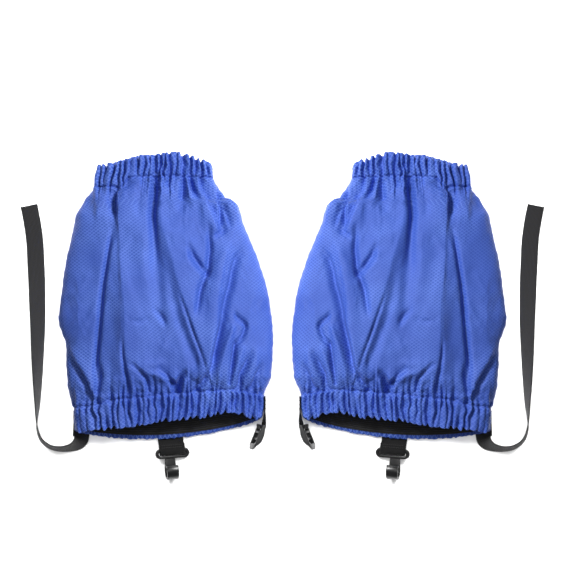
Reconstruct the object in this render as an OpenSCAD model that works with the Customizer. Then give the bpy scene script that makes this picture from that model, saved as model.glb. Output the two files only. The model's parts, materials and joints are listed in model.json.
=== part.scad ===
// A pair of short elasticated gaiters, lying flat.
// X runs across the pair, +Y towards the tops of the sleeves, +Z up from the surface they lie on.
// One gaiter is drawn at the origin, then moved to the left or mirrored to the right.

/* [Sleeve] */
// Width of the flattened sleeve at its fullest
sleeve_width = 214; // [190:1:235]
// Length of the sleeve from its lower corners to the top edge
sleeve_length = 272; // [250:1:290]
// Height that the loosely gathered sleeve stands at, lying down
sleeve_height = 36; // [32:1:42]
// Thickness of the cloth with its folds, as one solid skin
cloth_t = 1.6; // [1.2:0.1:1.8]
// Distance between the middles of the two gaiters
pair_spacing = 225; // [225:1:260]

/* [Elastics] */
// Thickness of the elastic bands
elastic_t = 1.2; // [0.8:0.1:1.4]
// Width of the elastic in the top cuff
top_elastic_w = 20; // [15:1:22]
// Width of the elastic in the lower cuff
hem_elastic_w = 22; // [16:1:24]

/* [Webbing] */
// Width of the foot strap and of the buckle's tab
strap_w = 17; // [15:0.5:18]
// Width of the tab that carries the lace hook
hook_tab_w = 25.4; // [20:0.2:26]
// Thickness of the webbing
webbing_t = 1.2; // [0.9:0.1:1.3]

/* [Lace hook] */
// Outer radius of the hook's curl
curl_r = 8.5; // [7.5:0.1:9]
// Thickness of the curled blade
blade_t = 2.2; // [1.8:0.1:2.6]
// Width of the curled blade
blade_w = 12; // [9:0.5:14]

/* [Buckle] */
// Length of each of the two slots that the strap threads through
slot_l = 18.6; // [18.5:0.1:20]
// Width of each of those slots
slot_w = 4.6; // [4.4:0.1:5]

/* [Hidden] */
PARTS = ["rear_panel", "front_panel", "top_elastic", "hem_elastic", "strap_side_seam", "buckle_side_seam",
         "top_stitching", "hem_stitching", "hook_tab", "hook_tab_stitching", "lace_hook", "foot_strap",
         "foot_strap_stitching", "buckle_tab", "buckle_tab_stitching", "ladder_buckle"];

// ---- The sleeve's surface ----
// A point of it is named by its share of the way up from the lower hem, and by its angle round the
// sleeve: 0 at the buckle side, 90 on the upper layer, 180 at the strap side, 270 underneath.
// Each row: the share, the reach towards the strap side and towards the buckle side as shares of the
// full width, the height as a share of the full height, and the clearance in mm under the lower layer,
// where webbing or stitches pass under it.
PROFILE = [[0, 0.443, 0.427, 0.72, 1.6],
           [0.05, 0.446, 0.434, 0.75, 1.6],
           [0.085, 0.448, 0.438, 0.75, 1.6],
           [0.1, 0.45, 0.438, 0.74, 1.6],
           [0.115, 0.456, 0.443, 0.77, 1.6],
           [0.17, 0.472, 0.467, 0.9, 0.5],
           [0.23, 0.486, 0.481, 0.95, 0],
           [0.31, 0.488, 0.486, 0.98, 0],
           [0.4, 0.523, 0.473, 1, 0],
           [0.46, 0.509, 0.467, 0.99, 0],
           [0.53, 0.497, 0.442, 0.97, 0],
           [0.61, 0.481, 0.411, 0.95, 0],
           [0.68, 0.463, 0.379, 0.89, 0],
           [0.75, 0.444, 0.341, 0.83, 0],
           [0.84, 0.388, 0.262, 0.67, 0],
           [0.88, 0.368, 0.234, 0.57, 0.8],
           [0.9, 0.358, 0.216, 0.56, 0.9],
           [0.92, 0.354, 0.212, 0.56, 0.9],
           [1, 0.338, 0.194, 0.56, 0.9]];
function column(c) = [for (row = PROFILE) [row[0], row[c]]];
STRAP_REACH = column(1);
BUCKLE_REACH = column(2);
HEIGHT = column(3);
LIFT = column(4);

hem_y = -110.5;
hem_lift = 8;
hem_sag = 11;
hem_slope = 0.065;
hem_reach = 0.31;
crown_drop = 16;
crown_reach = 0.16;
side_share = 0.34;
underside_flatness = 1.6;
upper_roundness = 0.8;
gap = 0.3;

function reach_mid(f) = sleeve_width * (lookup(f, BUCKLE_REACH) - lookup(f, STRAP_REACH)) / 2;
function reach_half(f) = sleeve_width * (lookup(f, BUCKLE_REACH) + lookup(f, STRAP_REACH)) / 2;
function top_z(f) = sleeve_height * lookup(f, HEIGHT);
function side_z(f) = side_share * top_z(f);
function fade(f, span) = max(0, 1 - f / span);

// Height of the surface at a share and an angle, for a skin that lies depth inside the cloth's face
function skin_z(f, angle, depth) =
    let (s = sin(angle))
    s >= 0 ? side_z(f) + (top_z(f) - depth - side_z(f)) * pow(s, upper_roundness)
           : side_z(f) - (side_z(f) - lookup(f, LIFT) - depth) * min(1, -underside_flatness * s);

function skin(f, angle, depth) =
    let (x = reach_mid(f) + (reach_half(f) - depth) * cos(angle),
         s = sin(angle),
         lifted = hem_slope * x + (s > 0 ? hem_lift * s : -hem_sag * s * s),
         dropped = crown_drop * pow(cos(angle), 2))
    [x,
     hem_y + f * sleeve_length + lifted * fade(f, hem_reach) - dropped * fade(1 - f, crown_reach),
     skin_z(f, angle, depth)];

// The shares at which a stretch of the sleeve changes its shape, with the stretch's own ends
function shares(f0, f1) = concat(f0, [for (row = PROFILE) if (row[0] > f0 && row[0] < f1) row[0]], f1);

// Two triangles for a four-cornered cell, and one list made out of a list of lists
function cell(a, b, c, d) = [[a, b, c], [a, c, d]];
function flat_list(lists) = [for (l = lists) for (x = l) x];

// A closed solid between two depths, over a stretch of the sleeve's length and of its angle
module skin_band(f0, f1, a0, a1, outer, inner, cols) {
    f = shares(f0, f1);
    rows = len(f) - 1;
    across = cols + 1;
    layer = (rows + 1) * across;
    points = [for (depth = [inner, outer]) for (i = [0:rows]) for (j = [0:cols])
              skin(f[i], a0 + (a1 - a0) * j / cols, depth)];
    sides = flat_list(flat_list([for (i = [0:rows - 1]) [for (j = [0:cols - 1])
        let (k = i * across + j, m = k + layer)
        concat(cell(k, k + across, k + across + 1, k + 1), cell(m, m + 1, m + across + 1, m + across))]]));
    ends = flat_list([for (j = [0:cols - 1])
        let (k = j, m = rows * across + j)
        concat(cell(k, k + 1, k + 1 + layer, k + layer), cell(m, m + layer, m + layer + 1, m + 1))]);
    edges = flat_list([for (i = [0:rows - 1])
        let (k = i * across, m = k + cols)
        concat(cell(k, k + layer, k + across + layer, k + across),
               cell(m, m + across, m + across + layer, m + layer))]);
    polyhedron(points = points, faces = concat(sides, ends, edges), convexity = 6);
}

// The same, closed all the way round
module skin_ring(f0, f1, outer, inner, cols) {
    f = shares(f0, f1);
    rows = len(f) - 1;
    layer = (rows + 1) * cols;
    points = [for (depth = [inner, outer]) for (i = [0:rows]) for (j = [0:cols - 1])
              skin(f[i], 360 * j / cols, depth)];
    sides = flat_list(flat_list([for (i = [0:rows - 1]) [for (j = [0:cols - 1])
        let (k = i * cols + j, n = i * cols + (j + 1) % cols, m = k + layer, p = n + layer)
        concat(cell(k, k + cols, n + cols, n), cell(m, p, p + cols, m + cols))]]));
    ends = flat_list([for (j = [0:cols - 1])
        let (k = j, n = (j + 1) % cols, m = rows * cols + k, p = rows * cols + n)
        concat(cell(k, n, n + layer, k + layer), cell(m, m + layer, p + layer, p))]);
    polyhedron(points = points, faces = concat(sides, ends), convexity = 8);
}

panel_cols = 18;
top_stitch_f = 0.902;
hem_stitch_f = 0.1;
stitch_w_f = 0.003;
ring_stitches = 60;
stitch_duty = 0.6;
stitch_t = 0.4;
seam_cols = 2;
seam_half_angle = 180 / panel_cols;
seam_t = 0.8;
elastic_inset = 0.012;

module rear_panel() {
    color("royalblue") skin_band(0, 1, 0, 180, 0, cloth_t, panel_cols);
}

module front_panel() {
    color("mediumblue") skin_band(0, 1, 180, 360, 0, cloth_t, panel_cols);
}

module elastic_band(f0, width) {
    outer = cloth_t + gap;
    color("black") skin_ring(f0, f0 + width / sleeve_length, outer, outer + elastic_t, 2 * panel_cols);
}

module top_elastic() { elastic_band(1 - elastic_inset - top_elastic_w / sleeve_length, top_elastic_w); }

module hem_elastic() { elastic_band(elastic_inset, hem_elastic_w); }

// The turned edges of both panels, overlocked together inside the sleeve
module seam_allowance(middle) {
    outer = cloth_t + gap;
    color("navy") skin_band(hem_stitch_f, top_stitch_f, middle - seam_half_angle, middle + seam_half_angle,
                            outer, outer + seam_t, seam_cols);
}

module strap_side_seam() { seam_allowance(180); }

module buckle_side_seam() { seam_allowance(0); }

// One row of separate stitches round the outside of the sleeve
module stitch_row(f) {
    pitch = 360 / ring_stitches;
    near = -0.1;
    color("midnightblue") for (k = [0:ring_stitches - 1])
        skin_band(f, f + stitch_w_f, k * pitch, (k + stitch_duty) * pitch, near - stitch_t, near, 1);
}

module top_stitching() { stitch_row(top_stitch_f); }

module hem_stitching() { stitch_row(hem_stitch_f); }

// ---- Webbing ----
function unit(v) = v / norm(v);
// Corners of a flat strap's section, with its edges eased
function strap_section(w, t) =
    [[-w / 2, -t / 5], [-w / 2 + t / 3, -t / 2], [w / 2 - t / 3, -t / 2], [w / 2, -t / 5],
     [w / 2, t / 5], [w / 2 - t / 3, t / 2], [-w / 2 + t / 3, t / 2], [-w / 2, t / 5]];

// A strap along a list of [place, direction of its width]
module strap_along(stations, w, t) {
    last = len(stations) - 1;
    section = strap_section(w, t);
    sides = len(section);
    points = [for (i = [0:last])
        let (ahead = stations[min(i + 1, last)][0], behind = stations[max(i - 1, 0)][0],
             along = unit(ahead - behind), face = unit(cross(along, stations[i][1])),
             across = cross(face, along))
        for (c = section) stations[i][0] + c[0] * across + c[1] * face];
    walls = flat_list(flat_list([for (i = [0:last - 1]) [for (j = [0:sides - 1])
        let (k = i * sides + j, n = i * sides + (j + 1) % sides)
        cell(k, k + sides, n + sides, n)]]));
    near_end = [for (j = [0:sides - 1]) j];
    far_end = [for (j = [sides - 1:-1:0]) last * sides + j];
    polyhedron(points = points, faces = concat(walls, [near_end, far_end]), convexity = 10);
}

// A smooth curve through a list of rows of numbers, with steps points for each stretch
function between(p, i, t) =
    let (last = len(p) - 1, a = p[max(i - 1, 0)], b = p[i], c = p[i + 1], d = p[min(i + 2, last)])
    0.5 * (2 * b + (c - a) * t + (2 * a - 5 * b + 4 * c - d) * t * t + (3 * b - a - 3 * c + d) * t * t * t);
function smooth(p, steps) =
    concat([for (i = [0:len(p) - 2]) for (k = [0:steps - 1]) between(p, i, k / steps)], [p[len(p) - 1]]);

// The foot strap's route over the surface: X, Y and how far the strap has rolled over, in degrees, from
// flat on one face (0) through on its edge (90) to flat on the other face (180)
STRAP_ROUTE = [[-88.2, -94, 17], [-88.2, -106, 17], [-88.6, -117, 17], [-90, -124.5, 36], [-97, -130, 60],
               [-108, -132, 70], [-119, -130, 73], [-128, -123, 77], [-132, -112, 82], [-132.5, -100, 92],
               [-132, -86, 104], [-132, -66, 117], [-132, -46, 128], [-132, -26, 138], [-132, -6, 147],
               [-132.5, 14, 156], [-133, 34, 164], [-134, 54, 171], [-135, 74, 175], [-137.5, 93, 177],
               [-141, 111, 178]];
strap_steps = 2;

// A strap's station where it lies on the surface, standing on its lower edge if it is rolled over
function laid(p, ahead) =
    let (side = unit([ahead[1], -ahead[0], 0]), roll = p[2])
    [[p[0], p[1], 0.05 + strap_w / 2 * sin(roll) + webbing_t / 2 * abs(cos(roll))],
     cos(roll) * side + [0, 0, sin(roll)]];

module foot_strap() {
    route = smooth(STRAP_ROUTE, strap_steps);
    last = len(route) - 1;
    color("dimgray")
        strap_along([for (i = [0:last]) laid(route[i], route[min(i + 1, last)] - route[max(i - 1, 0)])],
                    strap_w, webbing_t);
}

// Short rows of stitches across a piece of webbing
module tack(w, rows, pitch) {
    stitch = [2, 0.7, stitch_t];
    count = floor(w / 3.2);
    color("black")
        for (r = [0:rows - 1]) for (k = [0:count - 1])
            translate([(k - (count - 1) / 2) * 3.2, r * pitch, 0]) cube(stitch, center = true);
}

// Sewn through the sleeve, with the stitches showing on the strap's lower face
module foot_strap_stitching() {
    roll = STRAP_ROUTE[0][2];
    middle = laid(STRAP_ROUTE[0], STRAP_ROUTE[1] - STRAP_ROUTE[0])[0];
    translate(middle) rotate([0, roll, 0]) translate([0, -9, -webbing_t / 2 - stitch_t / 2 - 0.1])
        tack(strap_w - 3, 3, 4);
}

// ---- Lace hook and its tab ----
// The hook hangs on its anchor bar. Its own X runs along that bar, and its blade runs towards -Y.
bar_r = 1.5;
loop_gap = 0.35;
hook_bar = [2.3, -133, 6];
hook_yaw = 4;
hook_roll = 12;
hook_pitch = 5;
frame_half = 17.2;
frame_r = 5;
frame_slot = hook_tab_w / 2 + 0.8;
frame_lower = 6;
blade_x = -2.6;
curl_mid = [blade_x, -20, curl_r - bar_r];
curl_end = 50;

module at_hook_bar() { translate(hook_bar) rotate([0, 0, hook_yaw]) rotate([0, hook_roll, 0]) children(); }

module hook_frame() {
    frame_end = frame_half - frame_r;
    rotate([0, 90, 0]) cylinder(r = bar_r, h = 2 * frame_slot + 2, center = true, $fn = 48);
    translate([0, 0, -bar_r]) linear_extrude(2 * bar_r) difference() {
        union() {
            for (x = [-frame_end, frame_end]) translate([x, bar_r - frame_r]) circle(frame_r, $fn = 48);
            translate([-frame_end, bar_r - 2 * frame_r]) square([2 * frame_end, 2 * frame_r]);
        }
        translate([-frame_slot, -frame_lower]) square([2 * frame_slot, 2 * frame_r]);
    }
}

// The blade leaves the frame, curls up and back, and ends in a round bead
module hook_blade() {
    root_half = blade_w / 2 - 1;
    half = blade_w / 2;
    neck = 5;
    root_y = bar_r - 2 * frame_r + 0.5;
    end_y = curl_mid[1] - 0.1;
    translate([blade_x, 0, -bar_r]) linear_extrude(blade_t)
        polygon([[-root_half, root_y], [root_half, root_y], [half, root_y - neck], [half, end_y],
                 [-half, end_y], [-half, root_y - neck]]);
    bead_r = 1.4;
    translate(curl_mid) {
        rotate([curl_end, 0, 0]) rotate([0, 90, 0]) rotate([0, 0, 90])
            rotate_extrude(angle = 270 - curl_end, $fn = 96)
                translate([curl_r - blade_t, -half]) square([blade_t, blade_w]);
        rotate([curl_end, 0, 0]) translate([0, curl_r - blade_t + bead_r, 0]) rotate([0, 90, 0])
            cylinder(r = bead_r, h = blade_w, center = true, $fn = 32);
    }
}

module lace_hook() {
    color("darkslategray") at_hook_bar() rotate([hook_pitch, 0, 0]) { hook_frame(); hook_blade(); }
}

loop_r = bar_r + loop_gap + webbing_t / 2;
loop_steps = 10;

// Places round a bar's far side, from below it to above it, in the bar's own frame, for a loop that
// hangs slack beyond the bar
function wrap(from, to, slack) =
    [for (k = [0:loop_steps])
     let (a = from + (to - from) * k / loop_steps)
     [0, (loop_r + slack) * cos(a), loop_r * sin(a)]];

function turned(p, yaw, roll) =
    let (q = [p[0] * cos(roll) + p[2] * sin(roll), p[1], p[2] * cos(roll) - p[0] * sin(roll)])
    [q[0] * cos(yaw) - q[1] * sin(yaw), q[0] * sin(yaw) + q[1] * cos(yaw), q[2]];

// Where the tab's free end lies on top of its lower layer
hook_tab_end = 6.5;
hook_tab_slack = 2.3;

module hook_tab() {
    low = webbing_t / 2 + 0.05;
    sewn = [for (y = [-95, -107, -122.5]) [[0.5, y, low], [1, 0, 0]]];
    width = turned([1, 0, 0], hook_yaw, hook_roll);
    mid = [1.2, -127, (low + hook_bar[2] - loop_r) / 2 + 0.2];
    rise = [mid, turned([1, 0, 0], hook_yaw / 2, hook_roll / 2)];
    loop = [for (p = concat(wrap(-90, -270, hook_tab_slack), [[0, hook_tab_end, loop_r - 0.3]]))
            [hook_bar + turned(p, hook_yaw, hook_roll), width]];
    color("black") strap_along(concat(sewn, [rise], loop), hook_tab_w, webbing_t);
}

module hook_tab_stitching() {
    at_hook_bar() translate([0, 2.6, loop_r + webbing_t / 2 + stitch_t / 2]) tack(hook_tab_w - 3, 2, 2.4);
}

// ---- Buckle and its tab ----
// The buckle leans outwards on one rail. Its own X runs along its anchor bar, and its lip points to -Y.
buckle_bar = [91.4, -109.2, 12.5];
buckle_lean = 13;
buckle_swing = -23;
rail_w = 2.7;
rail_t = 5.4;
cross_w = 2.2;
anchor_slot = 3.9;
lip_l = 6;
buckle_half = slot_l / 2 + rail_w;

module at_buckle_bar() { translate(buckle_bar) rotate([0, buckle_lean - 90, 0]) children(); }

slot_a = -bar_r - anchor_slot - cross_w;
slot_b = slot_a - slot_w - cross_w;
lip_y = slot_b - slot_w;

module ladder_buckle() {
    color("darkslategray") at_buckle_bar() rotate([buckle_swing, 0, 0]) rotate([0, 180, 0]) {
        rotate([0, 90, 0]) cylinder(r = bar_r, h = slot_l + 1, center = true, $fn = 48);
        for (s = [-1, 1]) buckle_rail(s);
        translate([-slot_l / 2 - 0.5, slot_a, -bar_r]) cube([slot_l + 1, cross_w, 2 * bar_r]);
        translate([-slot_l / 2 - 0.5, slot_b, 0]) cube([slot_l + 1, cross_w, rail_t - bar_r]);
        buckle_teeth();
        buckle_lip();
    }
}

// A side rail, round at the anchor bar and thicker by the strap's slots
module buckle_rail(s) {
    inner_x = s * (slot_l + rail_w) / 2 - rail_w / 2;
    translate([inner_x, 0, 0]) rotate([90, 0, 90]) linear_extrude(rail_w) {
        circle(bar_r, $fn = 48);
        polygon([[0, -bar_r], [0, bar_r], [slot_a, rail_t - bar_r], [slot_b, rail_t - bar_r],
                 [lip_y - 1, bar_r], [lip_y - 1, -bar_r]]);
    }
}

// Teeth along the ladder bar that grip the strap
module buckle_teeth() {
    tooth = 1.1;
    count = 8;
    for (k = [0:count - 1])
        translate([(k - (count - 1) / 2) * slot_l / count, slot_b + cross_w / 2, rail_t - bar_r])
            cube([tooth, cross_w, 1], center = true);
}

// The lip that is lifted to let the strap slip, tapered to a narrow edge
module buckle_lip() {
    edge_half = buckle_half * 0.4;
    translate([0, 0, -bar_r]) linear_extrude(2.4)
        polygon([[-buckle_half, lip_y], [buckle_half, lip_y], [buckle_half, lip_y - 1.5],
                 [edge_half, lip_y - lip_l], [-edge_half, lip_y - lip_l], [-buckle_half, lip_y - 1.5]]);
}

tab_x = 95;
tab_y = -91.6;
tab_z = 9.6;

module buckle_tab() {
    width = turned([1, 0, 0], 0, buckle_lean - 90);
    upright = [0, 0, 1];
    sewn = [for (y = [12, 4, -4]) [[tab_x, tab_y + y, tab_z], upright]];
    loop = [for (p = concat([[0, 3.6, -loop_r], [0, 1.4, -loop_r]], wrap(-90, -270, 0), [[0, 2, loop_r]]))
            [buckle_bar + turned(p, 0, buckle_lean - 90), width]];
    rise = [[tab_x - 0.6, tab_y - 9, tab_z + 0.8], unit(upright + width)];
    color("black") strap_along(concat(sewn, [rise], loop), strap_w, webbing_t);
}

module buckle_tab_stitching() {
    face_x = tab_x + webbing_t / 2;
    translate([face_x + stitch_t / 2 + 0.1, tab_y, tab_z]) rotate([0, 90, 0]) tack(strap_w - 3, 3, 4);
}

// ---- The pair ----
module gaiter(part) {
    if (part == "rear_panel") rear_panel();
    if (part == "front_panel") front_panel();
    if (part == "top_elastic") top_elastic();
    if (part == "hem_elastic") hem_elastic();
    if (part == "strap_side_seam") strap_side_seam();
    if (part == "buckle_side_seam") buckle_side_seam();
    if (part == "top_stitching") top_stitching();
    if (part == "hem_stitching") hem_stitching();
    if (part == "hook_tab") hook_tab();
    if (part == "hook_tab_stitching") hook_tab_stitching();
    if (part == "lace_hook") lace_hook();
    if (part == "foot_strap") foot_strap();
    if (part == "foot_strap_stitching") foot_strap_stitching();
    if (part == "buckle_tab") buckle_tab();
    if (part == "buckle_tab_stitching") buckle_tab_stitching();
    if (part == "ladder_buckle") ladder_buckle();
}

module left(part) { translate([-pair_spacing / 2, 0, 0]) gaiter(part); }

module right(part) { mirror([1, 0, 0]) left(part); }

for (part = PARTS) {
    left(part);
    right(part);
}
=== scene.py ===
import json
import math

import bmesh
import bpy
import numpy as np
from mathutils import Matrix, Vector

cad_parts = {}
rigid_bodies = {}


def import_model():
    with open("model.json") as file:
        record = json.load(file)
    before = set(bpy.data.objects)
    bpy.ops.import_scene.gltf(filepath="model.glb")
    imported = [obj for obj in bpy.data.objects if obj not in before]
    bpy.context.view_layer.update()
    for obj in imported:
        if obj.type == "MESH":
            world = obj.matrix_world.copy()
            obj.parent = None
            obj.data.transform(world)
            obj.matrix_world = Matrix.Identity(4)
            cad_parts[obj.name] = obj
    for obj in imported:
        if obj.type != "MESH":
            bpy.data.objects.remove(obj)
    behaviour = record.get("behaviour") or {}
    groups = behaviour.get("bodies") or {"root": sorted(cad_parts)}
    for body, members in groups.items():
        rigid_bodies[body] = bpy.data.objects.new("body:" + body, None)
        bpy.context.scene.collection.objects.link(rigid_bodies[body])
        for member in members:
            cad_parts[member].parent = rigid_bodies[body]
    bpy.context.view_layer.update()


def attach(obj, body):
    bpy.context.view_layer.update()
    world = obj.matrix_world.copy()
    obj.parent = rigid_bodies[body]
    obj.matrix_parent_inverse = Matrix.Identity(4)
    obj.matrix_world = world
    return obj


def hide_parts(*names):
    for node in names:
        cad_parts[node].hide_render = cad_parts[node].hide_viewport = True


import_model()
bpy.ops.object.select_all(action="DESELECT")

# ---- Camera ----
# A long lens far above the pair, looking straight down on it.
camera = bpy.data.objects.new("camera", bpy.data.cameras.new("camera"))
camera.data.sensor_width = 36
camera.data.lens = 200
camera.location = (0.0055, 0.0285, 3.2)
camera.data.clip_end = 20
bpy.context.scene.collection.objects.link(camera)
bpy.context.scene.camera = camera

# ---- Foot straps ----
# Charcoal polyester webbing, 17 mm wide. One end is sewn under the lower hem at the strap side; the
# rest comes out, turns up on its edge round a loose bend, and lies up beside the sleeve with a cut,
# heat-sealed end.
strap_w = 17
webbing_t = 1.2
gaiter_x = -112.5
# Across, along, and how far the strap has rolled from flat on one face to flat on the other
strap_route = [(-88.2, -94, 17), (-88.2, -106, 17), (-88.6, -117, 17), (-90, -124.5, 36), (-97, -130, 60),
               (-108, -132, 70), (-119, -130, 73), (-128, -123, 77), (-132, -112, 82), (-132.5, -100, 92),
               (-132, -86, 104), (-132, -66, 117), (-132, -46, 128), (-132, -26, 138), (-132, -6, 147),
               (-132.5, 14, 156), (-133, 34, 164), (-134, 54, 171), (-135, 74, 175), (-137.5, 93, 177),
               (-141, 111, 178)]


def smooth_through(points, steps):
    p = np.array(points, float)
    out = []
    for i in range(len(p) - 1):
        a, b, c, d = p[max(i - 1, 0)], p[i], p[i + 1], p[min(i + 2, len(p) - 1)]
        for t in np.arange(steps) / steps:
            out.append(0.5 * (2 * b + (c - a) * t + (2 * a - 5 * b + 4 * c - d) * t ** 2
                              + (3 * b - a - 3 * c + d) * t ** 3))
    return np.array(out + [p[-1]])


def unit(v):
    return v / np.maximum(np.linalg.norm(v, axis=-1, keepdims=True), 1e-9)


def distance_along(points):
    return np.concatenate([[0], np.cumsum(np.linalg.norm(np.diff(points, axis=0), axis=1))])


def make_piece(name, points, faces, cloth_mm=None):
    """A mesh object from points in the left gaiter's own millimetres, with millimetres of cloth as its UVs."""
    place = (np.asarray(points, float) + (gaiter_x, 0, 0)) * 0.001
    mesh = bpy.data.meshes.new(name)
    mesh.from_pydata(place.tolist(), [], faces)
    if cloth_mm is not None:
        corner = np.empty(len(mesh.loops), int)
        mesh.loops.foreach_get("vertex_index", corner)
        layer = mesh.uv_layers.new(name="cloth")
        layer.data.foreach_set("uv", np.asarray(cloth_mm, float)[corner].ravel())
    mesh.polygons.foreach_set("use_smooth", [True] * len(mesh.polygons))
    piece = bpy.data.objects.new(name, mesh)
    bpy.context.scene.collection.objects.link(piece)
    return piece


def grid_faces(rows, cols, closed=False):
    i, j = np.meshgrid(np.arange(rows - 1), np.arange(cols if closed else cols - 1), indexing="ij")
    k = (j + 1) % cols
    return np.stack([i * cols + j, i * cols + k, (i + 1) * cols + k, (i + 1) * cols + j], -1).reshape(-1, 4)


def webbing_along(name, middles, acrosses, width, thickness):
    """A flat strap through a list of middles, each with the direction of its width, with eased edges."""
    middles, acrosses = np.asarray(middles, float), np.asarray(acrosses, float)
    ahead = unit(np.gradient(middles, axis=0))
    face = unit(np.cross(ahead, acrosses))
    across = np.cross(face, ahead)
    w, t = width / 2, thickness / 2
    section = np.array([(-w, -t * .35), (-w + t * .35, -t * .85), (-w + t, -t), (-w / 2, -t), (0, -t), (w / 2, -t),
                        (w - t, -t), (w - t * .35, -t * .85), (w, -t * .35), (w, t * .35), (w - t * .35, t * .85),
                        (w - t, t), (w / 2, t), (0, t), (-w / 2, t), (-w + t, t), (-w + t * .35, t * .85),
                        (-w, t * .35)])
    points = middles[:, None] + section[None, :, :1] * across[:, None] + section[None, :, 1:] * face[:, None]
    rows, cols = points.shape[:2]
    faces = grid_faces(rows, cols, closed=True).tolist()
    faces.append(list(range(cols))[::-1])
    faces.append([(rows - 1) * cols + j for j in range(cols)])
    cloth = np.stack(np.broadcast_arrays(section[None, :, 0], distance_along(middles)[:, None]), -1)
    piece = make_piece(name, points.reshape(-1, 3), faces, cloth.reshape(-1, 2))
    outward(piece)
    return piece


def outward(piece):
    shape = bmesh.new()
    shape.from_mesh(piece.data)
    bmesh.ops.recalc_face_normals(shape, faces=shape.faces)
    shape.to_mesh(piece.data)
    shape.free()


def both_sides(piece, part, body, finish):
    """Gives the left piece its finish and body, hides the CAD part that it stands for, and mirrors it for the right
    gaiter.
    """
    pieces = []
    piece.data.materials.clear()
    piece.data.materials.append(finish.material)
    for side in ("left_", "right_"):
        if side == "right_":
            mesh = piece.data.copy()
            mesh.transform(Matrix.Scale(-1, 4, (1, 0, 0)))
            mesh.flip_normals()
            piece = bpy.data.objects.new(piece.name.replace("left_", side), mesh)
            bpy.context.scene.collection.objects.link(piece)
        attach(piece, side + body)
        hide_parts(side + part)
        pieces.append(piece)
    return pieces


class Shade:
    """A value inside a material, so that shader maths reads as arithmetic."""

    def __init__(self, finish, socket):
        self.finish, self.socket = finish, socket

    def out(self, name):
        return Shade(self.finish, self.socket.node.outputs[name])

    def maths(self, operation, *others):
        return self.finish.add("ShaderNodeMath", {"operation": operation}, dict(enumerate((self, *others))))

    def __add__(self, other):
        return self.maths("ADD", other)

    def __sub__(self, other):
        return self.maths("SUBTRACT", other)

    def __mul__(self, other):
        return self.maths("MULTIPLY", other)

    def __truediv__(self, other):
        return self.maths("DIVIDE", other)

    def __rsub__(self, other):
        return self * -1 + other

    def __abs__(self):
        return self.maths("ABSOLUTE")

    def clipped(self):
        return self.maths("MAXIMUM", 0.0).maths("MINIMUM", 1.0)

    __radd__, __rmul__ = __add__, __mul__


class Finish:
    """A material, with one method that adds any node to it."""

    def __init__(self, name, **constants):
        self.material = bpy.data.materials.new(name)
        self.material.use_nodes = True
        self.tree = self.material.node_tree
        self.surface = self.tree.nodes["Principled BSDF"]
        for key, value in constants.items():
            self.surface.inputs[key.replace("_", " ")].default_value = value

    def add(self, kind, settings={}, sockets={}, output=0):
        node = self.tree.nodes.new(kind)
        for key, value in settings.items():
            setattr(node, key, value)
        for key, value in sockets.items():
            self.put(node.inputs[key], value)
        return Shade(self, node.outputs[output])

    def put(self, socket, value):
        if isinstance(value, Shade):
            self.tree.links.new(value.socket, socket)
        else:
            socket.default_value = value

    def blend(self, share, a, b):
        return self.add("ShaderNodeMix", {"data_type": "RGBA"}, {0: share, 6: a, 7: b}, 2)

    def noise(self, coords, scale, detail=2.0):
        return self.add("ShaderNodeTexNoise", {}, {"Vector": coords, "Scale": scale, "Detail": detail})

    def place(self):
        return self.add("ShaderNodeTexCoord", output=3)

    def cloth_mm(self):
        both = self.add("ShaderNodeSeparateXYZ", {}, {0: self.add("ShaderNodeUVMap", {"uv_map": "cloth"})})
        return both.out("X"), both.out("Y")

    def cover(self, colour, height, depth, roughness=None, strength=1.0):
        self.put(self.surface.inputs["Base Color"], colour)
        bump = self.add("ShaderNodeBump", {}, {"Strength": strength, "Distance": depth, "Height": height})
        self.put(self.surface.inputs["Normal"], bump)
        if roughness is not None:
            self.put(self.surface.inputs["Roughness"], roughness)


def webbing_finish(name, dark, light, rib_mm, pick_mm):
    finish = Finish(name, Roughness=0.75, Specular_IOR_Level=0.3, Sheen_Weight=0.1, Sheen_Roughness=0.4)
    across, along = finish.cloth_mm()
    column = (across / rib_mm).maths("FRACT")
    odd = (across / (2 * rib_mm)).maths("FRACT").maths("GREATER_THAN", 0.5)
    pick = (along / pick_mm + odd * 0.5).maths("FRACT")
    yarn = (1 - abs(column - 0.5) * 2) * 0.5 + (1 - abs(pick - 0.5) * 2) * 0.5
    fuzz = finish.noise(finish.place(), 900.0)
    # The crests of the yarns are painted lighter and the dips between them darker: painted highlight and painted
    # shade on the weave, with random fuzz in the tone.
    shade = (yarn * 0.75 + fuzz * 0.4 - 0.1).clipped()
    finish.cover(finish.blend(shade, dark, light), yarn + fuzz * 0.3, 0.00035, 0.85 - yarn * 0.2)
    return finish


route = smooth_through(strap_route, 8)
ahead = unit(np.gradient(route[:, :2], axis=0))
roll = np.radians(route[:, 2])
strap_height = 0.05 + strap_w / 2 * np.sin(roll) + webbing_t / 2 * abs(np.cos(roll))
strap_middle = np.column_stack([route[:, :2], strap_height])
strap_across = np.column_stack([np.cos(roll) * ahead[:, 1], -np.cos(roll) * ahead[:, 0], np.sin(roll)])
strap = webbing_along("left_foot_strap_webbing", strap_middle, strap_across, strap_w, webbing_t)
charcoal = webbing_finish("charcoal webbing", (0.016, 0.016, 0.017, 1), (0.035, 0.034, 0.036, 1), 1.3, 1.7)
for piece, flip in zip(both_sides(strap, "foot_strap", "sleeve", charcoal), (1, -1)):
    path = (strap_middle + (gaiter_x, 0, 0)) * (0.001 * flip, 0.001, 0.001)

# ---- Sleeves ----
# Blue coated ripstop nylon, a wider rear panel uppermost and a front panel under it, seamed up both
# sides. Both cuffs are turned in over elastic, which gathers the cloth into pleats along two rows of
# stitches, and the slack between them lies in loose creases.
hem_y = -110.5
sleeve_length = 272
sleeve_height = 36
hem_gather = 0.1
top_gather = 0.902
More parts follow.
